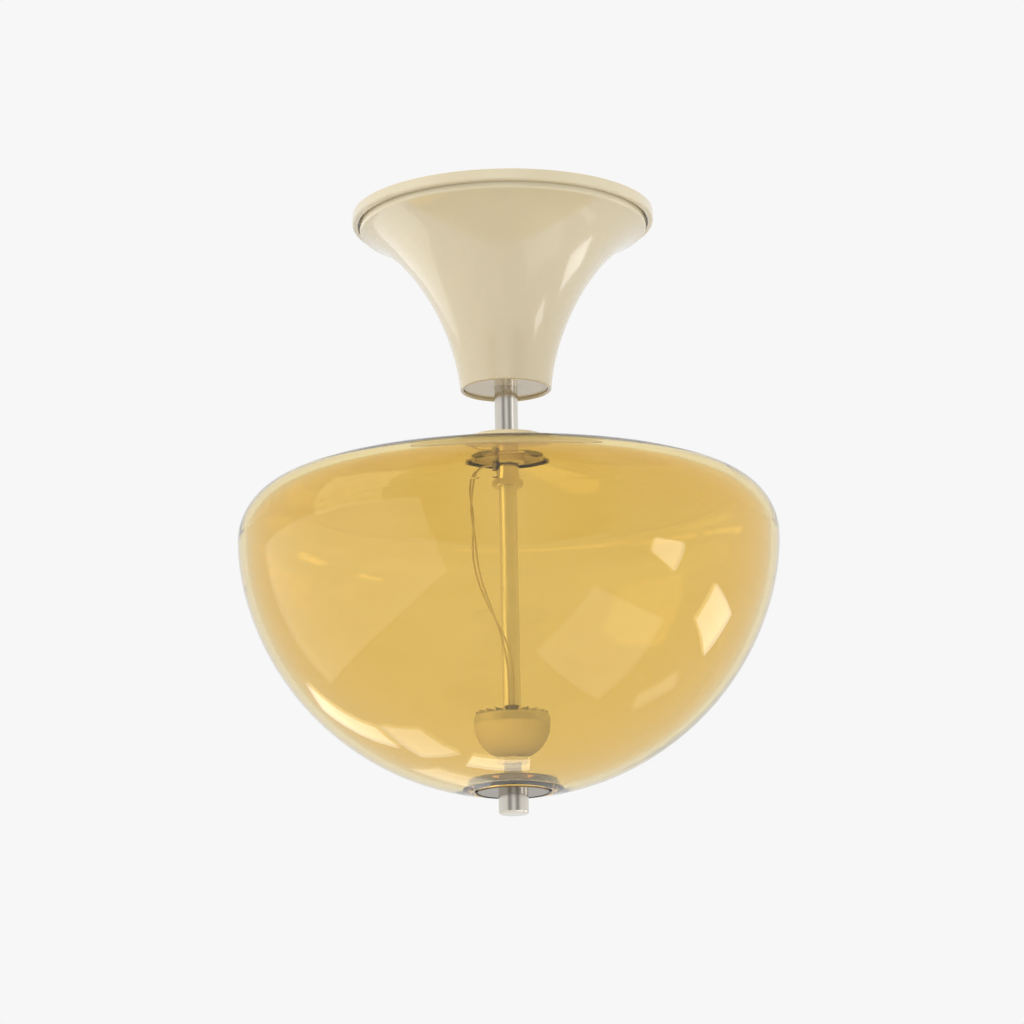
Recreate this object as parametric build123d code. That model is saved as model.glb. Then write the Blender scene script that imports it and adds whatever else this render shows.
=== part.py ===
"""Semi-flush ceiling light: a round ceiling plate, a trumpet shaped canopy, a short nickel stem, a closed
blown glass bowl, and a washer and knob that clamp the bowl from below.

Frame: millimetres, +Z up. The origin is the middle of the plate's back face, which lies on the ceiling at
z = 0, so the whole light hangs towards -Z. The lamp's axis is Z, and -Y is the side that faces the viewer.

How it is held: the bracket carries an M10x1 pipe, which runs through everything on the axis. Nuts clamp the
pipe in the bracket. The stem tube covers the pipe down into the bowl, where a nut holds it. The cap, fixed
on the stem, covers the bowl's top hole. The knob on the pipe's lower end presses washer, gasket and bowl up
against the cap. The canopy rests on a web, a disc that closes its mouth. The web hangs from a collar that
grips the stem, and canopy, web and collar slide down together to reach the wiring.
"""
from build123d import *
from math import asin, cos, pi, radians, sin, sqrt, tan
import os

os.makedirs("parts", exist_ok=True)

# ---------------------------------------------------------------- driving dimensions, mm
# ceiling plate
plate_r = 85.0            # outer radius
plate_depth = 6.0         # ceiling to the rim's lower edge
plate_sheet = 1.5         # thickness of the disc
plate_rim = 3.0           # radial width of the rim
plate_edge_round = 1.4    # rounding of the rim's lower outer edge
cable_hole_r = 26.0       # opening for the supply cable
# screw slots, in the plate and in the bracket's feet
slot_pitch = 92.0         # between the two slots' centres
slot_w = 5.4              # width
slot_l = 15.0             # end to end, along X
# mounting bracket, a hat shaped strip
bracket_w = 22.0          # along Y
bracket_sheet = 2.0
bracket_foot = 26.0       # length of each foot
bracket_rise = 14.0       # foot's top face to the crown's top face
bracket_crown = 66.0      # length of the raised middle, along X
bracket_slope = 8.0       # run of each sloping leg
foot_screw_in = 12.5      # beyond the slot, the screw that holds each foot to the plate
foot_screw_r = 1.5
foot_head_r = 2.8
foot_head_h = 1.6
# pipe, M10x1
pipe_r = 5.0
pipe_bore_r = 3.6
pipe_top = 8.0            # below the ceiling
nut_af = 15.0             # hexagon across flats, all pipe nuts
nut_h = 4.0
lock_washer_r = 8.5
lock_washer_t = 1.0
# stem tube
stem_r = 6.5
stem_wall = 1.2
stem_below = 12.7         # side hole for the leads down to the tube's end
# canopy, a spun trumpet
canopy_gap = 1.2          # dark groove between the plate's rim and the canopy's rim
canopy_wall = 2.0
canopy_top = 2.2          # ceiling to the top edge of the canopy's rim
canopy_rim_z = 9.2        # ceiling to where the flare meets the rim
canopy_rim_round = 1.3
rim_lean = 71.0           # the flare's lean from the vertical at the rim
rim_pull = 24.6           # how far the curve holds that lean
mouth_r = 25.5            # outer radius of the mouth
mouth_z = 102.5           # ceiling to the mouth
mouth_lean = 4.7
mouth_pull = 42.5
ledge_up = 3.5            # mouth up to the ledge's underside
ledge_t = 2.0
ledge_r = 18.0            # radius of the ledge's hole
web_t = 2.0               # disc under the ledge
collar_r = 11.0
collar_h = 10.0           # above the web
collar_neck_r = 8.6       # neck of the collar, swaged into the web
collar_flare = 0.8        # its spread lower end
key_hole_r = 2.6          # in the canopy's back, for the key of the collar's screw
grub_r = 1.5              # M3 grub screws
grub_l = 3.2
# bowl
bowl_r = 150.0
bowl_z = 188.7            # ceiling to the bowl's widest place
bowl_drop = 142.9         # widest place to the bottom of the base's curve
shoulder_r = 30.0         # radius of the shoulder's arc
shoulder_turn = 75.2      # degrees that the shoulder's arc turns, up from the widest place
crown_ease = 0.12         # share of its slope that the crown loses on the way to the top hole
side_turn = 14.0          # degrees that the side's arc turns, down from the widest place
glass = 4.5               # wall
top_hole_r = 22.0
top_land = 3.0            # ground flat around the top hole
seat_r = 20.3             # dimple under the bowl that takes the washer
seat_draft = 1.0
seat_depth = 6.3          # from the base curve's lowest point up to the seat
bottom_hole_r = 8.0
# top cap
cap_r = 24.5
cap_t = 2.5
spigot_h = 2.5
spigot_wall = 3.0
hub_r = 10.0              # hub under the cap, round the stem
hub_h = 6.4
gasket_t = 1.0
# light source: a ribbed pan, the board under it, an opal dome below
cup_r = 21.0
cup_lift = 10.8           # the bowl's inner seat to the dome's underside
cup_h = 23.0              # dome's underside to the pan's top face
pan_t = 2.0
pan_h = 5.0               # pan's top face to its lower edge
pan_lip = 1.2
pan_round = 1.5
rib_count = 20
rib_t = 0.8
rib_h = 2.0
rib_in_r = 10.0
rib_out_r = 20.0
board_t = 1.2
board_hole_r = 9.0
led_count = 16
led_side = 2.8
led_t = 0.7
led_ring_r = 14.2
dome_t = 1.6
dome_lip = 0.9            # wall of the dome's upstand, inside the pan
dome_flat_r = 7.0         # flat underside, where the nut presses
# leads and their bushes
lead_d = 1.2
lead_pitch = 2.6          # between the two leads in a bush
exit_drop = 5.6           # the cap's spigot down to the side hole in the stem
bush_r = 3.2              # body of the bush, in the hole
bush_flange_r = 4.4
bush_flange_t = 1.0
entry_r = 14.0            # the leads enter the pan at this radius, on the -Y side
# washer, gasket, knob
washer_play = 0.5         # radial room of the washer in the dimple
washer_t = 3.0
washer_edge = 1.0
cushion_t = 1.6           # gasket between washer and glass
knob_r = 8.25
knob_h = 12.0
knob_round = 1.4
knob_thread = 9.5         # depth of the threaded hole
knob_grip = 9.0           # length of pipe in the knob when it is tight
sleeve_flange_r = 12.0
sleeve_flange_t = 1.5
# clearances
fit = 0.06                # running fit, radial
loose = 0.4               # between bodies that pass each other
slip = 0.3                # between pieces of one body

# ---------------------------------------------------------------- places that follow from them
rim_in_r = plate_r - plate_rim
canopy_r = rim_in_r - canopy_gap
foot_top = -plate_sheet                                  # the feet lie under the plate's disc
crown_top = foot_top - bracket_rise
crown_low = crown_top - bracket_sheet
lock_low = crown_low - lock_washer_t
stem_top = lock_low - nut_h                              # the stem starts under the lower clamping nut
web_top = ledge_up - mouth_z                             # also the ledge's underside
web_low = web_top - web_t
grub_z = web_top + collar_h / 2
foot_screw_x = slot_pitch / 2 + foot_screw_in


def two_arcs(wide, high, turn):
    """Radii of two tangent arcs that make a quarter of an oval. The first starts upright."""
    k = (1 - sin(turn)) / cos(turn)
    first = (high - wide * k) / (1 - k)
    return first, first + (wide - first) / cos(turn)


# the bowl's profile: a crown and a shoulder above its widest place, two arcs below, tangent all the way
eq = -bowl_z
shoulder_a, side_a = radians(shoulder_turn), radians(side_turn)
side_r, base_r = two_arcs(bowl_r, bowl_drop, side_a)
base_c = eq - bowl_drop + base_r                         # height of the base arc's centre, on the axis
land_r = top_hole_r + top_land
join_r = bowl_r - shoulder_r + shoulder_r * cos(shoulder_a)
crown_lean = (pi / 2 - shoulder_a) * (1 - crown_ease)    # the crown's slope beside the hole
crown_r = (join_r - land_r) / (cos(shoulder_a) - sin(crown_lean))
crown_x = join_r - crown_r * cos(shoulder_a)             # the crown arc's centre lies beyond the axis
crown_c = eq + (shoulder_r - crown_r) * sin(shoulder_a)


def crown_z(r, inset):
    """Height of the crown at the radius r, for the surface that lies inset inside the outer one."""
    return crown_c + sqrt((crown_r - inset) ** 2 - (r - crown_x) ** 2)


land_z = crown_z(land_r, 0.0)
seat_z = eq - bowl_drop + seat_depth
cap_low = land_z + gasket_t
cap_top = cap_low + cap_t
spigot_r = top_hole_r - loose
washer_r = seat_r - washer_play
gasket_low = seat_z - cushion_t
washer_low = gasket_low - washer_t
pipe_low = washer_low - knob_grip
cup_low = seat_z + glass + cup_lift
cup_rim = cup_low + cup_h
cup_bed = cup_rim - pan_t                                # the board lies under this face
board_low = cup_bed - board_t
pan_low = cup_rim - pan_h
exit_z = cap_low - spigot_h - exit_drop                  # the side hole in the stem
stem_low = exit_z - stem_below


# ---------------------------------------------------------------- helpers
def ring(r_out, r_in, z0, z1):
    """Flat ring about the axis, from z0 to z1."""
    h = abs(z1 - z0)
    body = Cylinder(r_out, h) - Cylinder(r_in, 3 * h)
    return Pos(0, 0, (z0 + z1) / 2) * body


def spin(*edges):
    """Solid of revolution about Z from edges in the XZ plane that close on themselves."""
    wire = Wire(list(edges))
    return revolve(make_face(wire), Axis.Z)


def line(a, b):
    return Edge.make_line((a[0], 0, a[1]), (b[0], 0, b[1]))


def poly(*pts):
    return [line(a, b) for a, b in zip(pts, pts[1:])]


def arc(cx, cz, r, a, b):
    """Arc in the XZ plane about (cx, cz), between the angles a and b measured from +X, in radians."""
    p = [(cx + r * cos(t), 0, cz + r * sin(t)) for t in (a, (a + b) / 2, b)]
    return Edge.make_three_point_arc(*p)


def hex_nut(z0, bore):
    """Nut of height nut_h on top of z0, its corners turned down on both faces."""
    body = extrude(RegularPolygon(nut_af / 2, 6, major_radius=False), nut_h)
    corner = nut_af / 2 / cos(pi / 6)
    drop = (corner - nut_af / 2) * tan(radians(30))
    turned = spin(*poly((0, 0), (nut_af / 2, 0), (corner + 0.01, drop), (corner + 0.01, nut_h - drop),
                        (nut_af / 2, nut_h), (0, nut_h), (0, 0)))
    return Pos(0, 0, z0) * (body & turned) - Pos(0, 0, z0) * Cylinder(bore, 4 * nut_h)


def slots(z, depth):
    """The two screw slots, cut through everything near z."""
    tool = extrude(SlotOverall(slot_l, slot_w), depth, both=True)
    return [Pos(s * slot_pitch / 2, 0, z) * tool for s in (-1, 1)]


def hole(x, y, z, r, depth):
    return Pos(x, y, z) * Cylinder(r, 2 * depth)


def save(shape, node):
    """Write one solid as its own file."""
    solids = shape.solids()
    if len(solids) != 1:
        raise ValueError(f"{node}: {len(solids)} solids")
    s = solids[0]
    s.label = node
    export_step(s, f"parts/{node}.step")
    b = s.bounding_box()
    print(f"{node:18s} {s.volume / 1000:9.2f} cm3   z {b.min.Z:8.2f} .. {b.max.Z:8.2f}")


# ---------------------------------------------------------------- ceiling plate
er = plate_edge_round
plate = spin(
    line((cable_hole_r, 0), (plate_r, 0)),
    line((plate_r, 0), (plate_r, -plate_depth + er)),
    arc(plate_r - er, -plate_depth + er, er, 0, -pi / 2),
    line((plate_r - er, -plate_depth), (rim_in_r, -plate_depth)),
    *poly((rim_in_r, -plate_depth), (rim_in_r, -plate_sheet),
          (cable_hole_r, -plate_sheet), (cable_hole_r, 0)),
)
for t in slots(0, 3 * plate_sheet):
    plate -= t
for s in (-1, 1):
    plate -= hole(s * foot_screw_x, 0, 0, foot_screw_r, plate_sheet)
save(plate, "ceiling_plate")

# ---------------------------------------------------------------- mounting bracket, bent from strip
half = bracket_crown / 2
foot_in = half + bracket_slope
foot_out = foot_in + bracket_foot
top_side = [(-foot_out, foot_top), (-foot_in, foot_top), (-half, crown_top), (half, crown_top),
            (foot_in, foot_top), (foot_out, foot_top)]
# the sloping legs keep the strip's thickness, so the lower side's corners shift sideways
leg = sqrt(bracket_rise ** 2 + bracket_slope ** 2)
shift = bracket_sheet * (leg - bracket_slope) / bracket_rise
low_side = [(foot_out, foot_top - bracket_sheet), (foot_in + shift, foot_top - bracket_sheet),
            (half + shift, crown_low), (-half - shift, crown_low),
            (-foot_in - shift, foot_top - bracket_sheet), (-foot_out, foot_top - bracket_sheet)]
outline = top_side + low_side + top_side[:1]
strip = make_face(Wire(poly(*outline)))
bracket = extrude(strip, bracket_w / 2, dir=(0, 1, 0), both=True)
for t in slots(foot_top, 3 * bracket_sheet):
    bracket -= t
for s in (-1, 1):
    bracket -= hole(s * foot_screw_x, 0, foot_top, foot_screw_r, 2 * bracket_sheet)
bracket -= hole(0, 0, crown_top, pipe_r + fit, 3 * bracket_sheet)
block_x = half - 13.0                                     # the terminal block sits near the crown's end
earth_x = -half + 12.0
bracket -= hole(earth_x, 0, crown_top, foot_screw_r, 3 * bracket_sheet)
save(bracket, "mounting_bracket")

# screws that hold the feet to the plate: pan heads under the feet
for s, node in ((-1, "plate_screw_a"), (1, "plate_screw_b")):
    under = foot_top - bracket_sheet
    head = Pos(s * foot_screw_x, 0, under - foot_head_h / 2) * Cylinder(foot_head_r, foot_head_h)
    head = fillet(head.faces().sort_by(Axis.Z)[0].edges(), foot_head_h * 0.45)
    slot = Pos(s * foot_screw_x, 0, under - foot_head_h) * Box(2 * foot_head_r, 0.8, 1.2)
    shank_h = plate_sheet + bracket_sheet - 0.2
    shank = Pos(s * foot_screw_x, 0, under + shank_h / 2) * Cylinder(foot_screw_r - fit, shank_h)
    save((head - slot) + shank, node)

# earth terminal: cheese head screw from below, in the crown
head = Pos(earth_x, 0, crown_low - 1.3) * Cylinder(3.4, 2.6)
head -= Pos(earth_x, 0, crown_low - 2.6) * Box(7, 1, 1.6)
shank = Pos(earth_x, 0, crown_low + 2.5) * Cylinder(foot_screw_r - fit, 5.0)
save(head + shank, "earth_screw")

# three pole terminal block, screwed face down, with its wire holes along X
block_l, block_w, block_h = 15.0, bracket_w - 1.0, 12.0
block = Pos(block_x, 0, crown_low - block_h / 2) * Box(block_l, block_w, block_h)
pole = block_w / 3
for k in (-1, 0, 1):
    block -= Pos(block_x, k * pole, crown_low - block_h * 0.4) * Rot(0, 90, 0) * Cylinder(1.7, 2 * block_l)
    for s in (-1, 1):
        block -= hole(block_x + s * block_l / 4, k * pole, crown_low - block_h, 1.6, block_h * 0.35)
for k in (-0.5, 0.5):
    block -= Pos(block_x, k * pole, crown_low - block_h) * Box(2 * block_l, 1.0, 5.0)
save(block, "terminal_block")

# ---------------------------------------------------------------- pipe, nuts and lock washer
pipe = ring(pipe_r, pipe_bore_r, pipe_low, -pipe_top)
pipe -= Pos(-pipe_r, 0, exit_z) * Rot(0, 90, 0) * Cylinder(bush_r + slip, 2 * pipe_bore_r)
pipe = chamfer(pipe.edges().filter_by(GeomType.CIRCLE).filter_by(
    lambda e: abs(e.radius - pipe_r) < 1e-6 and e.is_closed), 0.5)
save(pipe, "threaded_pipe")
save(hex_nut(crown_top, pipe_r + fit), "top_nut")
washer = ring(lock_washer_r, pipe_r + slip, lock_low, crown_low)
for k in range(12):                                       # teeth of a shakeproof washer
    cut = Pos(lock_washer_r, 0, (lock_low + crown_low) / 2) * Box(3.0, 1.3, 3 * lock_washer_t)
    washer -= Rot(0, 0, 30 * k) * cut
save(washer, "lock_washer")
save(hex_nut(stem_top, pipe_r + fit), "under_nut")

# ---------------------------------------------------------------- stem tube
stem = ring(stem_r, stem_r - stem_wall, stem_low, stem_top)
stem -= Pos(-stem_r, 0, exit_z) * Rot(0, 90, 0) * Cylinder(bush_r + slip / 3, stem_r)
save(stem, "stem_tube")
save(hex_nut(stem_low - nut_h, pipe_r + fit), "stem_nut")

# ---------------------------------------------------------------- canopy
def flare(shrink):
    """One cubic curve from the mouth to the rim, moved inwards by shrink along its end normals."""
    a, b = radians(mouth_lean), radians(rim_lean)
    p0 = (mouth_r - shrink * cos(a), -mouth_z + shrink * sin(a))
    p3 = (canopy_r - shrink * cos(b), -canopy_rim_z + shrink * sin(b))
    k0, k1 = mouth_pull + 0.42 * shrink, rim_pull + 0.42 * shrink
    p1 = (p0[0] + k0 * sin(a), p0[1] + k0 * cos(a))
    p2 = (p3[0] - k1 * sin(b), p3[1] - k1 * cos(b))
    return [(p[0], 0, p[1]) for p in (p0, p1, p2, p3)]


def bez(p, t):
    q = [(1 - t) ** 3, 3 * t * (1 - t) ** 2, 3 * t * t * (1 - t), t ** 3]
    return tuple(sum(w * c[i] for w, c in zip(q, p)) for i in (0, 2))


def radius_at(p, z):
    """Radius of the curve p at the height z, found by halving."""
    lo, hi = 0.0, 1.0
    for _ in range(50):
        mid = (lo + hi) / 2
        lo, hi = (mid, hi) if bez(p, mid)[1] < z else (lo, mid)
    return bez(p, lo)[0]


outer, inner = flare(0.0), flare(canopy_wall)
o0, o3, i0, i3 = bez(outer, 0), bez(outer, 1), bez(inner, 0), bez(inner, 1)
rim_r_in = canopy_r - canopy_wall
canopy = spin(
    line(i0, o0),
    Edge.make_bezier(*outer),
    line(o3, (canopy_r, -canopy_top)),
    line((canopy_r, -canopy_top), (rim_r_in, -canopy_top)),
    line((rim_r_in, -canopy_top), (rim_r_in, i3[1] + canopy_wall * 0.9)),
    line((rim_r_in, i3[1] + canopy_wall * 0.9), i3),
    Edge.make_bezier(*reversed(inner)),
)
near = [e for e in canopy.edges().filter_by(GeomType.CIRCLE)
        if abs(e.radius - canopy_r) < 1e-4 and abs(e.center().Z + canopy_rim_z) < 1e-3]
canopy = fillet(near, canopy_rim_round)
lips = [e for e in canopy.edges().filter_by(GeomType.CIRCLE) if e.center().Z < -mouth_z + 1.0]
canopy = fillet(lips, canopy_wall * 0.42)
# the ledge that rests on the web, reaching just into the wall
ledge_out = radius_at(inner, web_top) + canopy_wall * 0.5
canopy += ring(ledge_out, ledge_r, web_top, web_top + ledge_t)
canopy -= Pos(0, mouth_r, grub_z) * Rot(90, 0, 0) * Cylinder(key_hole_r, mouth_r - ledge_r + 4.0)
save(canopy, "canopy")

# web: a turned disc under the ledge, its edge following the wall with a small gap, its bore countersunk
w0, w1 = radius_at(inner, web_low) - slip, radius_at(inner, web_top) - slip
neck_r, cf = collar_neck_r, collar_flare
web = spin(*poly((neck_r + fit + cf, web_low), (w0, web_low), (w1, web_top), (neck_r + fit, web_top),
                 (neck_r + fit, web_low + cf), (neck_r + fit + cf, web_low)))
save(web, "canopy_web")

# collar on top of the web: its neck is swaged into the web's bore; grub screw on the +Y side
top, on_stem = web_top + collar_h, stem_r + fit
collar = spin(*poly(
    (on_stem, top), (collar_r - 0.8, top), (collar_r, top - 0.8), (collar_r, web_top + 0.8),
    (collar_r - 0.8, web_top), (neck_r, web_top), (neck_r, web_low + cf), (neck_r + cf, web_low),
    (on_stem, web_low), (on_stem, top)))
collar -= Pos(0, collar_r, grub_z) * Rot(90, 0, 0) * Cylinder(grub_r + fit, 2 * (collar_r - stem_r) + 1.0)
save(collar, "canopy_collar")


def grub(z):
    """Socket set screw that presses on the stem from +Y."""
    y0 = stem_r + fit
    body = Pos(0, y0 + grub_l / 2, z) * Rot(90, 0, 0) * Cylinder(grub_r, grub_l)
    key = extrude(RegularPolygon(0.75, 6, major_radius=False), 1.3, both=True)
    return body - Pos(0, y0 + grub_l, z) * Rot(90, 0, 0) * key


save(grub(grub_z), "collar_screw")

# ---------------------------------------------------------------- top cap and gasket
hub_low = cap_low - hub_h
cap = spin(*poly(
    (on_stem, cap_top), (cap_r - 1.0, cap_top), (cap_r, cap_top - 1.0), (cap_r, cap_low),
    (spigot_r, cap_low), (spigot_r, cap_low - spigot_h + 1.0), (spigot_r - 0.8, cap_low - spigot_h),
    (spigot_r - spigot_wall, cap_low - spigot_h), (spigot_r - spigot_wall, cap_low), (hub_r, cap_low),
    (hub_r, hub_low + 0.8), (hub_r - 0.8, hub_low), (on_stem, hub_low), (on_stem, cap_top)))
clear = hub_r + 1.0                                       # the hub is open where the leads leave the stem
cap -= Pos(-(clear + stem_r - 1.5) / 2, 0, (cap_low + hub_low - 1.0) / 2) * Box(
    clear - stem_r + 1.5, 2 * clear, hub_h + 1.0)
cap_grub_z = cap_low - hub_h * 0.61
cap -= Pos(0, hub_r, cap_grub_z) * Rot(90, 0, 0) * Cylinder(grub_r + fit, 2 * (hub_r - stem_r) + 1.0)
save(cap, "top_cap")
save(grub(cap_grub_z), "cap_screw")
save(ring(cap_r - 0.3, spigot_r + 0.2, land_z, cap_low), "top_gasket")

# ---------------------------------------------------------------- glass bowl
def base_z(r, inset):
    return base_c - sqrt((base_r - inset) ** 2 - r ** 2)


def half_profile(inset, r_top, r_low):
    """Edges from the crown at r_top, round the widest place, to the base at r_low."""
    a_top = pi / 2 - asin((r_top - crown_x) / (crown_r - inset))
    a_low = pi / 2 - asin(r_low / (base_r - inset))
    return [
        arc(crown_x, crown_c, crown_r - inset, a_top, shoulder_a),
        arc(bowl_r - shoulder_r, eq, shoulder_r - inset, shoulder_a, 0),
        arc(bowl_r - side_r, eq, side_r - inset, 0, -side_a),
        arc(0, base_c, base_r - inset, -side_a, -a_low),
    ]


seat_mouth_r = seat_r + seat_draft                        # the dimple is wider at the base's surface
in_seat_r = seat_r + glass * 0.9
in_mouth_r = seat_mouth_r + glass
bowl = spin(
    line((top_hole_r, land_z), (land_r, land_z)),
    *half_profile(0.0, land_r, seat_mouth_r),
    *poly((seat_mouth_r, base_z(seat_mouth_r, 0.0)), (seat_r, seat_z), (bottom_hole_r, seat_z),
          (bottom_hole_r, seat_z + glass), (in_seat_r, seat_z + glass),
          (in_mouth_r, base_z(in_mouth_r, glass))),
    *half_profile(glass, top_hole_r, in_mouth_r),
    line((top_hole_r, crown_z(top_hole_r, glass)), (top_hole_r, land_z)),
)
soft = [e for e in bowl.edges().filter_by(GeomType.CIRCLE)
        if any(abs(e.radius - r) < 1e-4 for r in (seat_mouth_r, in_seat_r, in_mouth_r))]
bowl = fillet(soft, 1.6)
save(bowl, "glass_bowl")

# ---------------------------------------------------------------- what clamps the bowl from below
# flanged plastic sleeve that keeps the glass off the pipe
sleeve_r = bottom_hole_r - slip
pass_r = pipe_r + loose
sleeve = spin(*poly((pass_r, gasket_low), (sleeve_r, gasket_low), (sleeve_r, seat_z + glass),
                    (sleeve_flange_r, seat_z + glass), (sleeve_flange_r, seat_z + glass + sleeve_flange_t),
                    (pass_r, seat_z + glass + sleeve_flange_t), (pass_r, gasket_low)))
save(sleeve, "bottom_sleeve")
save(ring(washer_r - 0.5, bottom_hole_r + slip, gasket_low, seat_z), "bottom_gasket")
we = washer_edge
disc = spin(
    line((pass_r, gasket_low), (washer_r, gasket_low)),
    line((washer_r, gasket_low), (washer_r, washer_low + we)),
    arc(washer_r - we, washer_low + we, we, 0, -pi / 2),
    *poly((washer_r - we, washer_low), (pass_r, washer_low), (pass_r, gasket_low)),
)
save(disc, "bottom_washer")

# knob: a plain turned cylinder with a blind threaded hole
kr = knob_round
knob_low = washer_low - knob_h
bore_r = pipe_r + fit
knob = spin(
    line((bore_r, washer_low), (knob_r, washer_low)),
    line((knob_r, washer_low), (knob_r, knob_low + kr)),
    arc(knob_r - kr, knob_low + kr, kr, 0, -pi / 2),
    *poly((knob_r - kr, knob_low), (0, knob_low), (0, washer_low - knob_thread),
          (bore_r, washer_low - knob_thread), (bore_r, washer_low)),
)
save(knob, "knob")

# ---------------------------------------------------------------- light source on the pipe
# pan: a spun disc with a turned down lip and low radial ribs on top, none beside the leads' bush
cup = spin(
    line((bore_r, cup_rim), (cup_r - pan_round, cup_rim)),
    arc(cup_r - pan_round, cup_rim - pan_round, pan_round, pi / 2, 0),
    *poly((cup_r, cup_rim - pan_round), (cup_r, pan_low), (cup_r - pan_lip, pan_low),
          (cup_r - pan_lip, cup_bed), (bore_r, cup_bed), (bore_r, cup_rim)),
)
for k in range(rib_count):
    turn = 360 * (k + 0.5) / rib_count
    if abs(turn - 270) > 25:
        cup += Rot(0, 0, turn) * Pos((rib_in_r + rib_out_r) / 2, 0, cup_rim + rib_h / 2 - 0.15) * Box(
            rib_out_r - rib_in_r, rib_t, rib_h + 0.3)
cup -= hole(0, -entry_r, cup_rim, bush_r + slip / 3, pan_t + rib_h)
save(cup, "light_cup")

board_r = cup_r - pan_lip - slip
board = ring(board_r, board_hole_r, board_low, cup_bed)
for k in range(led_count):
    chip = Pos(led_ring_r, 0, board_low - led_t / 2) * Box(led_side, led_side, led_t)
    board += Rot(0, 0, 360 * (k + 0.5) / led_count) * chip
save(board, "led_board")

# opal dome: its upstand stands in the pan and carries the board, the nut presses on its flat underside
dome_r = cup_r - 0.2
dome_x = (dome_r ** 2 - dome_flat_r ** 2 - (pan_low - cup_low) ** 2) / (2 * (dome_r - dome_flat_r))
dome_arc = dome_r - dome_x
end_a = asin((pan_low - cup_low) / dome_arc)
in_arc, in_r = dome_arc - dome_t, board_r - dome_lip
in_low = pan_low - sqrt(in_arc ** 2 - (dome_flat_r - dome_x) ** 2)
in_top = pan_low - sqrt(in_arc ** 2 - (in_r - dome_x) ** 2)
in_a0, in_a1 = asin((pan_low - in_low) / in_arc), asin((pan_low - in_top) / in_arc)
dome = spin(
    *poly((in_r, board_low), (board_r, board_low), (board_r, pan_low), (dome_r, pan_low)),
    arc(dome_x, pan_low, dome_arc, 0, -end_a),
    *poly((dome_flat_r, cup_low), (bore_r, cup_low), (bore_r, in_low), (dome_flat_r, in_low)),
    arc(dome_x, pan_low, in_arc, -in_a0, -in_a1),
    line((in_r, in_top), (in_r, board_low)),
)
save(dome, "led_diffuser")
save(hex_nut(cup_rim, pipe_r + fit), "cup_nut_upper")
save(hex_nut(cup_low - nut_h, pipe_r + fit), "cup_nut_lower")

# ---------------------------------------------------------------- bushes and slack leads
# bush in the stem's side hole, its flange outside; modelled along -X
neck = stem_wall + 0.6
stem_bush = Pos(-stem_r + neck / 2 - 0.5, 0, exit_z) * Rot(0, 90, 0) * Cylinder(bush_r, neck + 1.0)
exit_x = stem_r + bush_flange_t + 0.6
flange = Pos(-exit_x + (exit_x - stem_r + 0.45) / 2, 0, exit_z) * Rot(0, 90, 0) * Cylinder(
    bush_flange_r, exit_x - stem_r + 0.45)
stem_bush += flange
stem_bush -= Cylinder(stem_r + 0.0, 1000)                 # the flange's inner face follows the tube
core = Pos(-stem_r + neck / 2, 0, exit_z) * Rot(0, 90, 0) * Cylinder(bush_r, neck + 0.4)
stem_bush += core
stem_bush -= Pos(0, 0, exit_z) * Cylinder(pipe_r + slip / 3, 40)
save(stem_bush, "stem_bush")

entry_top = cup_rim + rib_h + 1.1
cup_bush = Pos(0, -entry_r, (cup_bed + entry_top) / 2) * Cylinder(bush_r, entry_top - cup_bed)
cup_bush += Pos(0, -entry_r, entry_top - 0.5) * Cylinder(bush_flange_r - 0.6, 1.0)
save(cup_bush, "cup_bush")


def lead(points, node):
    """Slack round lead: straight runs joined by arcs as large as their runs allow."""
    radii, shortest = [], 1e9
    for a, b, c in zip(points, points[1:], points[2:]):
        u, v = Vector(*b) - Vector(*a), Vector(*c) - Vector(*b)
        turn = radians(u.get_angle(v))
        radii.append(0.45 * min(u.length, v.length) / tan(turn / 2))
    path = FilletPolyline(*points, radius=radii)
    tube = sweep(Plane(origin=path @ 0, z_dir=path % 0) * Circle(lead_d / 2), path=path)
    want = pi * (lead_d / 2) ** 2 * path.length
    share = tube.volume / want
    print(f"{node}: length {path.length:.1f}, least radius {min(radii):.1f}, volume {share:.3f}")
    save(tube, node)


# The two leads run from the stem's bush to the pan's bush. They leave level, sag down on the left,
# cross in front of the pipe and drop into the pan. Each point is x, y and its share of the way down.
p = lead_pitch / 2
live = [
    (-exit_x, -p, 0), (-12.8, -p, 0), (-16.3, -2.0, 0.022), (-18.0, -3.0, 0.062), (-19.3, -3.8, 0.1166),
    (-20.4, -4.6, 0.1728), (-20.6, -6.2, 0.2416), (-18.6, -7.4, 0.3188), (-17.9, -8.8, 0.4115),
    (-15.2, -10.6, 0.5155), (-9.8, -12.4, 0.6236), (-4.6, -13.8, 0.7345), (-1.9, -14.8, 0.8385),
    (-p, -entry_r, 0.9312), (-p, -entry_r, 1)]
neutral = [
    (-exit_x, p, 0), (-13.2, p, 0), (-17.6, 2.2, 0.022), (-20.0, 2.4, 0.064), (-21.2, 1.4, 0.114),
    (-20.9, 0.2, 0.1643), (-19.3, -2.6, 0.236), (-19.8, -4.2, 0.3174), (-20.2, -5.6, 0.4087),
    (-17.2, -7.0, 0.5113), (-11.0, -8.8, 0.618), (-3.2, -10.2, 0.7262), (1.2, -11.6, 0.8329),
    (p, -entry_r, 0.927), (p, -entry_r, 1)]
for route, node in ((live, "lead_live"), (neutral, "lead_neutral")):
    lead([(x, y, exit_z + part * (entry_top - exit_z)) for x, y, part in route], node)
print(f"height {-knob_low:.1f}, crown {crown_r:.2f}, shoulder {shoulder_r:.2f}")
print(f"side {side_r:.2f}, base {base_r:.2f}")
print(f"land {land_z:.3f}, stem's side hole {exit_z:.3f}, lead's end {entry_top:.3f}")
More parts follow.
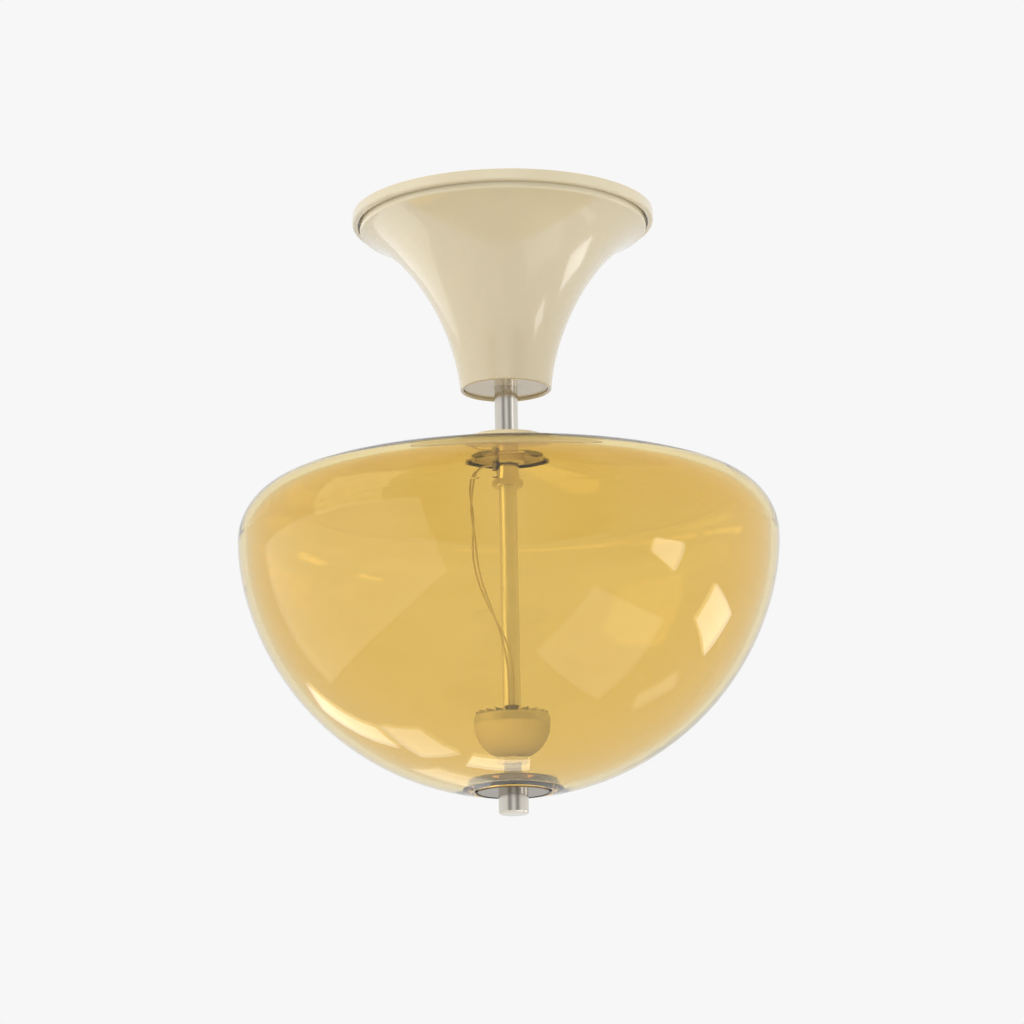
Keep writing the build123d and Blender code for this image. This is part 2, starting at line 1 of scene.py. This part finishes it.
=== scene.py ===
"""Semi-flush ceiling light: cream enamelled canopy, nickel stem, closed bowl of peach glass cased over amber.

Lengths are metres and the axis is Z. The lamp hangs from z = 0 and is seen from -Y, a little from below.
Every solid keeps its shape and gets a finish; only the two slack leads are drawn anew, as smooth curves.
"""
from math import cos, pi, radians, sin, tau

import bpy
from mathutils import Matrix, Vector


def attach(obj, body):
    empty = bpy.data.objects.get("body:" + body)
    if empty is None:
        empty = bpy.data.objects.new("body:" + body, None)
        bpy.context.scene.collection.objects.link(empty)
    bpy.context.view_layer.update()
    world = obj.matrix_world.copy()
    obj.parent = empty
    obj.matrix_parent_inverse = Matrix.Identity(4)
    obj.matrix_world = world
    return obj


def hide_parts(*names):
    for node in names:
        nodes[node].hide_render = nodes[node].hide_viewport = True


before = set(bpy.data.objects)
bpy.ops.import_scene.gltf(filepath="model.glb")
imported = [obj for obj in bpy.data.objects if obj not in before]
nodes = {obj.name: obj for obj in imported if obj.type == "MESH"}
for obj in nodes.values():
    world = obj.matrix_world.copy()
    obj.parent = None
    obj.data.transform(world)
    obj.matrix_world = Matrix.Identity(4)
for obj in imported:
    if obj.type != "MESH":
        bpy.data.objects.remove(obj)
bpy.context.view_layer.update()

scene = bpy.context.scene

BOWL_MIDDLE_Z = -0.1887           # the height at which the bowl is widest
BOARD_FACE_Z = -0.29025           # between the LED board's face and its chips' undersides
THREAD_PITCH_MM = 1.0
LOW_THREAD_Z, HIGH_THREAD_Z = -0.3, -0.028
LEAD_TOP_Z, LEAD_FALL = -141.366, 142.534   # mm: the stem's side hole, and from there down to the pan's bush
LEAD_D = 0.0012
BACKDROP = 0.93                   # linear grey
SOFT_LIGHT = "#FFFCF4"


# ---------------------------------------------------------------- helpers
def linear(hex_code, alpha=1.0):
    """sRGB hex colour as linear RGBA."""
    c = [int(hex_code[i:i + 2], 16) / 255 for i in (1, 3, 5)]
    return [v / 12.92 if v <= 0.04045 else ((v + 0.055) / 1.055) ** 2.4 for v in c] + [alpha]


def add(tree, kind, inputs=None, out=0, **settings):
    """Adds a node, gives it its settings, links or sets its inputs, and returns one of its outputs. An output
    node has none, and is returned itself."""
    n = tree.nodes.new("ShaderNode" + kind)
    for key, value in settings.items():
        setattr(n, key, value)
    for key, value in (inputs or {}).items():
        if isinstance(value, bpy.types.NodeSocket):
            tree.links.new(value, n.inputs[key])
        else:
            n.inputs[key].default_value = value
    return n.outputs[out] if len(n.outputs) else n


def start(name):
    """A new material's tree, with the Object coordinates that its patterns use."""
    m = bpy.data.materials.new(name)
    m.use_nodes = True
    m.node_tree.nodes.clear()
    return m, m.node_tree, add(m.node_tree, "TexCoord", out="Object")


def per(mm):
    """Texture scale for a feature of that many millimetres."""
    return 1000.0 / mm


def around(tree, place):
    """Distance from the lamp's axis, and height: what a lathe's marks follow."""
    flat = add(tree, "VectorMath", {0: place, 1: (1, 1, 0)}, operation="MULTIPLY")
    r = add(tree, "VectorMath", {0: flat}, out="Value", operation="LENGTH")
    z = add(tree, "SeparateXYZ", {0: place}, out="Z")
    return r, z


def wear(tree, driver, low, high):
    """A texture's 0 to 1 stretched to the range low to high."""
    return add(tree, "MapRange", {"Value": driver, "To Min": low, "To Max": high})


def blend_colours(tree, share, a, b):
    """From the first hex colour, where share is 0, to the second."""
    return add(tree, "Mix", {"Factor": share, 6: linear(a), 7: linear(b)}, out=2, data_type="RGBA")


def surface(m, tree, inside=None, **sockets):
    """Closes a material with one principled shader; the keys are socket names with _ for each space. What is
    given as inside fills the solid."""
    ends = {"Surface": add(tree, "BsdfPrincipled", {k.replace("_", " "): v for k, v in sockets.items()})}
    if inside:
        ends["Volume"] = inside
    add(tree, "OutputMaterial", ends)
    return m


# ---------------------------------------------------------------- finishes
def gloss_enamel():
    """Stove enamel on spun steel, sprayed and baked: an even cream with a wet gloss and a faint orange peel."""
    m, t, place = start("gloss enamel, cream")
    cloud = add(t, "TexNoise", {"Vector": place, "Scale": per(60), "Detail": 2.0})
    peel = add(t, "TexNoise", {"Vector": place, "Scale": per(4), "Detail": 1.0})
    bump = add(t, "Bump", {"Height": peel, "Strength": 0.05, "Distance": 0.0004})
    return surface(m, t, Base_Color=blend_colours(t, cloud, "#DED4BA", "#D9CEB2"),
                   Roughness=wear(t, cloud, 0.14, 0.2), IOR=1.5, Normal=bump, Coat_Weight=0.6,
                   Coat_Roughness=0.05)


def turned_nickel(name="satin nickel plate, turned", light="#E0DBD1", dull="#D6D0C5"):
    """Nickel plate over turned brass: warm grey, with the fine rings that the lathe left."""
    m, t, place = start(name)
    r, z = around(t, place)
    rings = add(t, "TexNoise", {"Vector": add(t, "CombineXYZ", {"X": r, "Y": z}), "Scale": per(0.5),
                                "Detail": 2.0}, noise_dimensions="2D")
    cloud = add(t, "TexNoise", {"Vector": place, "Scale": per(12), "Detail": 2.0})
    bump = add(t, "Bump", {"Height": rings, "Strength": 0.25, "Distance": 0.00004})
    return surface(m, t, Base_Color=blend_colours(t, cloud, light, dull), Metallic=1.0,
                   Roughness=wear(t, cloud, 0.14, 0.22), Normal=bump)


def zinc():
    """Zinc plated steel: cool grey, cloudy and half matt."""
    m, t, place = start("zinc plate, clear passivated")
    cells = add(t, "TexVoronoi", {"Vector": place, "Scale": per(2.5)}, out="Color")
    grey = add(t, "RGBToBW", {"Color": cells})
    grain = add(t, "TexNoise", {"Vector": place, "Scale": per(0.8), "Detail": 3.0})
    bump = add(t, "Bump", {"Height": grain, "Strength": 0.3, "Distance": 0.00003})
    return surface(m, t, Base_Color=blend_colours(t, grey, "#C2C4C6", "#A9ACB0"), Metallic=1.0,
                   Roughness=wear(t, grain, 0.3, 0.46), Normal=bump)


def bright_pipe():
    """Bright zinc on drawn pipe: clean, with long soft reflections, and a thread rolled on at both ends. The
    thread's height follows a helix: a zigzag of height over pitch plus the share of a turn about the axis."""
    m, t, place = start("zinc plate, bright, threaded ends")
    xyz = add(t, "SeparateXYZ", {0: place}).node.outputs
    turn = add(t, "Math", {0: xyz["Y"], 1: xyz["X"]}, operation="ARCTAN2")
    turn = add(t, "Math", {0: turn, 1: 1 / tau}, operation="MULTIPLY")
    rise = add(t, "Math", {0: xyz["Z"], 1: per(THREAD_PITCH_MM), 2: turn}, operation="MULTIPLY_ADD")
    helix = add(t, "Math", {0: rise, 1: 0.5}, operation="PINGPONG")
    below = add(t, "Math", {0: xyz["Z"], 1: LOW_THREAD_Z}, operation="LESS_THAN")
    above = add(t, "Math", {0: xyz["Z"], 1: HIGH_THREAD_Z}, operation="GREATER_THAN")
    ends = add(t, "Math", {0: below, 1: above}, operation="MAXIMUM")
    bump = add(t, "Bump", {"Height": add(t, "Math", {0: helix, 1: ends}, operation="MULTIPLY"),
                           "Strength": 0.9, "Distance": 0.0006})
    cloud = add(t, "TexNoise", {"Vector": place, "Scale": per(14), "Detail": 2.0})
    return surface(m, t, Base_Color=blend_colours(t, cloud, "#F4F3F0", "#ECEBE7"), Metallic=1.0,
                   Roughness=wear(t, cloud, 0.34, 0.42), Normal=bump)


def turned_brass():
    """Bare turned brass: yellow, a little dulled."""
    m, t, place = start("brass, turned")
    cloud = add(t, "TexNoise", {"Vector": place, "Scale": per(3), "Detail": 3.0})
    return surface(m, t, Base_Color=blend_colours(t, cloud, "#D9B667", "#B8934B"), Metallic=1.0,
                   Roughness=wear(t, cloud, 0.22, 0.4))


def moulded(name, a, b, rough, grain_mm=0.6, bump_strength=0.15, **more):
    """Moulded plastic or rubber: two near shades in soft clouds, and the fine grain of the mould's spark
    eroded face."""
    m, t, place = start(name)
    cloud = add(t, "TexNoise", {"Vector": place, "Scale": per(9), "Detail": 2.0})
    grain = add(t, "TexNoise", {"Vector": place, "Scale": per(grain_mm), "Detail": 2.0})
    bump = add(t, "Bump", {"Height": grain, "Strength": bump_strength, "Distance": 0.00005})
    return surface(m, t, Base_Color=blend_colours(t, cloud, a, b),
                   Roughness=wear(t, cloud, rough, rough + 0.12), Normal=bump, **more)


def spun_aluminium():
    """Spun aluminium, lacquered: bright and half matt, with the fine rings of the spinning tool."""
    m, t, place = start("aluminium, spun")
    r, z = around(t, place)
    rings = add(t, "TexNoise", {"Vector": add(t, "CombineXYZ", {"X": r, "Y": z}), "Scale": per(0.6),
                                "Detail": 2.0}, noise_dimensions="2D")
    cloud = add(t, "TexNoise", {"Vector": place, "Scale": per(7), "Detail": 3.0})
    bump = add(t, "Bump", {"Height": rings, "Strength": 0.3, "Distance": 0.00005})
    return surface(m, t, Base_Color=blend_colours(t, cloud, "#F6F4F0", "#EEECE7"), Metallic=1.0,
                   Roughness=wear(t, cloud, 0.5, 0.6), Normal=bump)


def led_board():
    """White solder mask with chips under it: below the board's face the colour turns to their yellow
    phosphor."""
    m, t, place = start("solder mask, white, with LED chips")
    _, z = around(t, place)
    chip = add(t, "Math", {0: z, 1: BOARD_FACE_Z}, operation="LESS_THAN")
    cloud = add(t, "TexNoise", {"Vector": place, "Scale": per(5), "Detail": 2.0})
    white = blend_colours(t, cloud, "#EFEEEA", "#E4E3DE")
    colour = add(t, "Mix", {"Factor": chip, 6: white, 7: linear("#EBC860")}, out=2, data_type="RGBA")
    return surface(m, t, Base_Color=colour, Roughness=wear(t, cloud, 0.3, 0.42))


def cased_glass():
    """Blown glass in two layers: the wall's thickness is a faint peach, and light is tinted amber where it
    crosses the inner face, so the rim stays paler than the body. The inner face is where the solid's normal
    points back at the middle of the bowl. Slow swirls in the amber are what blowing leaves."""
    m, t, place = start("blown glass, peach cased over amber")
    middle = add(t, "VectorMath", {0: place, 1: (0, 0, BOWL_MIDDLE_Z)}, operation="SUBTRACT")
    facing = add(t, "VectorMath", {0: add(t, "TexCoord", out="Normal"), 1: middle}, out="Value",
                 operation="DOT_PRODUCT")
    behind = add(t, "NewGeometry", out="Backfacing")
    flip = add(t, "Math", {0: behind, 1: -2.0, 2: 1.0}, operation="MULTIPLY_ADD")
    inner = add(t, "Math", {0: add(t, "Math", {0: facing, 1: flip}, operation="MULTIPLY"), 1: 0.0},
                operation="LESS_THAN")
    cords = add(t, "VectorMath", {0: place, 1: (1.0, 1.0, 2.6)}, operation="MULTIPLY")
    swirl = add(t, "TexNoise", {"Vector": cords, "Scale": per(70), "Detail": 2.0, "Distortion": 1.4})
    amber = blend_colours(t, swirl, "#EFD78E", "#E9CB78")
    colour = add(t, "Mix", {"Factor": inner, 6: linear("#FFFFFF"), 7: amber}, out=2, data_type="RGBA")
    peach = add(t, "VolumeAbsorption", {"Color": (0.9, 0.72, 0.0, 1.0), "Density": 90.0})
    return surface(m, t, inside=peach, Base_Color=colour, Roughness=0.0, IOR=1.5, Transmission_Weight=1.0)


zinc_plate = zinc()
nickel = turned_nickel()
enamel = gloss_enamel()
finishes = {
    enamel: ["canopy", "ceiling_plate", "canopy_web", "canopy_collar", "top_cap"],
    nickel: ["stem_tube", "stem_nut", "knob", "cup_nut_upper", "cup_nut_lower"],
    # Painted shade: the washer's nickel is given a dark brown that stands in for the shadowed crevice between
    # washer and glass.
    turned_nickel("nickel plate, darkened for painted shade", "#75644A", "#66563D"): ["bottom_washer"],
    zinc_plate: ["mounting_bracket", "plate_screw_a", "plate_screw_b", "top_nut", "lock_washer", "under_nut",
                 "collar_screw", "cap_screw"],
    bright_pipe(): ["threaded_pipe"],
    turned_brass(): ["earth_screw"],
    moulded("polyamide, natural white", "#DEDDD6", "#D3D2CA", 0.42): ["terminal_block"],
    moulded("silicone rubber, translucent", "#F2EEE4", "#E9E5DA", 0.4, Transmission_Weight=0.6): [
        "top_gasket", "bottom_gasket"],
    moulded("rubber, grey", "#9B9587", "#8F897C", 0.5): ["stem_bush", "cup_bush"],
    moulded("polycarbonate, clear", "#E6E4DC", "#DCDAD1", 0.18, Transmission_Weight=0.5): ["bottom_sleeve"],
    spun_aluminium(): ["light_cup"],
    led_board(): ["led_board"],
    moulded("opal polycarbonate", "#FFFCF2", "#FBF6E9", 0.5, bump_strength=0.08, Transmission_Weight=0.15): [
        "led_diffuser"],
    cased_glass(): ["glass_bowl"],
}
for material, names in finishes.items():
    for name in names:
        nodes[name].data.materials.clear()
        nodes[name].data.materials.append(material)


# ---------------------------------------------------------------- leads
def slack_lead(name, node, route):
    """A round lead on one NURBS spline whose control points are the route's: x and y in mm, and the share of
    the way down from the stem's side hole to the pan's bush."""
    points = [(x, y, LEAD_TOP_Z - LEAD_FALL * share) for x, y, share in route]
    curve = bpy.data.curves.new(name, "CURVE")
    curve.dimensions = "3D"
    curve.resolution_u = 10
    curve.bevel_depth = LEAD_D / 2
    curve.bevel_resolution = 5
    curve.use_fill_caps = True
    spline = curve.splines.new("NURBS")
    spline.points.add(len(points) - 1)
    spline.points.foreach_set("co", [v for x, y, z in points for v in (x / 1000, y / 1000, z / 1000, 1.0)])
    spline.order_u = 3
    spline.use_endpoint_u = True
    piece = bpy.data.objects.new(name, curve)
    scene.collection.objects.link(piece)
    curve.materials.append(insulation)
    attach(piece, "fixture")
    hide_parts(node)


# Soft and pale, so that it all but disappears against the glass's amber.
insulation = moulded("silicone insulation, pale", "#F8F2E4", "#F0E8D8", 0.42)
slack_lead("live_lead", "lead_live", [
    (-8.1, -1.3, 0), (-12.8, -1.3, 0), (-16.3, -2.0, 0.022), (-18.0, -3.0, 0.062), (-19.3, -3.8, 0.1166),
    (-20.4, -4.6, 0.1728), (-20.6, -6.2, 0.2416), (-18.6, -7.4, 0.3188), (-17.9, -8.8, 0.4115),
    (-15.2, -10.6, 0.5155), (-9.8, -12.4, 0.6236), (-4.6, -13.8, 0.7345), (-1.9, -14.8, 0.8385),
    (-1.3, -14.0, 0.9312), (-1.3, -14.0, 1)])
slack_lead("neutral_lead", "lead_neutral", [
    (-8.1, 1.3, 0), (-13.2, 1.3, 0), (-17.6, 2.2, 0.022), (-20.0, 2.4, 0.064), (-21.2, 1.4, 0.114),
    (-20.9, 0.2, 0.1643), (-19.3, -2.6, 0.236), (-19.8, -4.2, 0.3174), (-20.2, -5.6, 0.4087),
    (-17.2, -7.0, 0.5113), (-11.0, -8.8, 0.618), (-3.2, -10.2, 0.7262), (1.2, -11.6, 0.8329),
    (1.3, -14.0, 0.927), (1.3, -14.0, 1)])


# ---------------------------------------------------------------- camera
tilt, roll = radians(13.3), radians(-1.1)
camera = bpy.data.objects.new("camera", bpy.data.cameras.new("camera"))
scene.collection.objects.link(camera)
camera.data.lens, camera.data.sensor_width, camera.data.clip_end = 140.625, 36.0, 50.0
camera.matrix_world = (Matrix.Translation((0.0021, -2.1632, -0.6837))
                       @ Matrix.Rotation(radians(90) + tilt, 4, "X") @ Matrix.Rotation(roll, 4, "Z"))
scene.camera = camera


# ---------------------------------------------------------------- room and light
def lamp(name, turn, rise, wide, high, radiance, away=1.6, aim=(0.0, 0.0, -0.2), mirrored=True, spin=0,
         on=None, past_glass=False, colour=(1.0, 1.0, 1.0)):
    """A soft box seen from the lamp at turn degrees from the camera's side, to the right, and rise degrees up.
    It is turned by spin degrees in its own plane and, if on names pieces, lights those alone. With past_glass
    they alone also cast its shadows: a tinted box then stands for light that has come through the bowl."""
    a, e = radians(turn), radians(rise)
    out = Vector((sin(a) * cos(e), -cos(a) * cos(e), sin(e)))
    data = bpy.data.lights.new(name, "AREA")
    data.shape, data.size, data.size_y = "RECTANGLE", wide, high
    data.energy = radiance * pi * wide * high
    box = bpy.data.objects.new(name, data)
    scene.collection.objects.link(box)
    box.location = Vector(aim) + out * away
    facing = (-out).to_track_quat("-Z", "Y").to_matrix() @ Matrix.Rotation(radians(spin), 3, "Z")
    box.rotation_euler = facing.to_euler()
    box.visible_glossy = mirrored
    data.color = colour
    if on:
        lit = box.light_linking.receiver_collection = bpy.data.collections.new(name + " lights")
        for piece in on:
            lit.objects.link(nodes[piece])
        if past_glass:
            box.light_linking.blocker_collection = lit


lamp("window_right_back", 111, -19.5, 0.54, 0.34, 2.6)
lamp("window_right_front", 70, -13, 0.40, 0.22, 2.6, spin=-14)
lamp("window_right_low", 120, -42, 0.2, 0.4, 0.6)
lamp("window_low_right", 62, -52, 1.1, 1.0, 0.55)
lamp("window_left", -78, -16, 3.2, 1.4, 0.46, on=["glass_bowl"])
lamp("window_left_far", -130, -20, 1.3, 1.3, 0.7, on=["canopy"])
lamp("window_slit", 66, 15, 0.3, 0.3, 0.8, on=["stem_tube"])
lamp("strip_left_back", -145, -27, 0.24, 0.62, 1.6, on=["glass_bowl"])
lamp("pane_left_low", -146, -48, 0.40, 0.42, 1.3, on=["glass_bowl"])
lamp("pane_back", -169, -31, 0.3, 0.36, 0.6, on=["glass_bowl"])
lamp("low_back", -175, -52, 0.38, 0.26, 1.9, on=["glass_bowl"])
lamp("key_left", -70, 25, 1.4, 1.4, 1.5, away=2.2, mirrored=False)
lamp("key_in_bowl", -25, -22, 1.4, 1.4, 2.6, away=2.2, mirrored=False, past_glass=True,
     colour=(1.0, 0.78, 0.38), on=["led_diffuser", "light_cup", "threaded_pipe", "stem_tube", "stem_nut",
                                   "stem_bush", "top_cap", "top_gasket", "bottom_sleeve", "bottom_gasket"])

world = bpy.data.worlds.new("studio")
scene.world = world
world.use_nodes = True
sky = world.node_tree
sky.nodes.clear()
seen = add(sky, "LightPath").node.outputs


def sum_of(a, b, c=0.0, kind="MULTIPLY_ADD"):
    """One math node of the world: a times b plus c, or another operation on a and b."""
    return add(sky, "Math", {0: a, 1: b, 2: c}, operation=kind)


# Metal mirrors a room of upright light and dark panels in front and an even pale wall behind. The camera, and
# what it sees through the glass, gets the plain backdrop, and matt surfaces a soft warm light.
panel_level, panel_swing, back_level = 0.57, 0.26, 0.88
east, north = [add(sky, "SeparateXYZ", {0: add(sky, "TexCoord", out="Generated")}, out=axis) for axis in "XY"]
azimuth = sum_of(east, sum_of(north, -1.0, kind="MULTIPLY"), kind="ARCTAN2")
in_front = sum_of(sum_of(azimuth, 0.0, kind="ABSOLUTE"), radians(60), kind="MINIMUM")
panels = sum_of(sum_of(sum_of(in_front, 6.0, kind="MULTIPLY"), 0.0, kind="COSINE"), panel_swing, panel_level)
to_back = add(sky, "MapRange", {"Value": north, "From Min": -0.5, "From Max": 0.3},
              interpolation_type="SMOOTHSTEP")
in_metal = add(sky, "Mix", {"Factor": to_back, 2: panels, 3: back_level}, data_type="FLOAT")
through = sum_of(seen["Transmission Depth"], 0.5, kind="GREATER_THAN")
plain = sum_of(seen["Is Camera Ray"], sum_of(through, seen["Is Transmission Ray"], kind="MAXIMUM"),
               kind="MAXIMUM")
level = add(sky, "Mix", {"Factor": plain, 2: in_metal, 3: BACKDROP}, data_type="FLOAT")
room = add(sky, "Background", {"Color": level, "Strength": 1.0})
soft = add(sky, "Background", {"Color": linear(SOFT_LIGHT), "Strength": 1.0})
direct = sum_of(plain, seen["Is Glossy Ray"], kind="MAXIMUM")
add(sky, "OutputWorld", {"Surface": add(sky, "MixShader", {0: direct, 1: soft, 2: room})})

half, down = 6, -2.4
floor_mesh = bpy.data.meshes.new("floor")
floor_mesh.from_pydata([(-half, -half, down), (half, -half, down), (half, half, down), (-half, half, down)],
                       [], [(0, 1, 2, 3)])
floor = bpy.data.objects.new("floor", floor_mesh)
scene.collection.objects.link(floor)
pale, t, place = start("floor, pale")
grain = add(t, "TexNoise", {"Vector": place, "Scale": 3.0})
floor_mesh.materials.append(surface(pale, t, Base_Color=blend_colours(t, grain, "#F7F7F7", "#F5F5F5"),
                                    Roughness=0.9))

scene.view_settings.view_transform = "Standard"
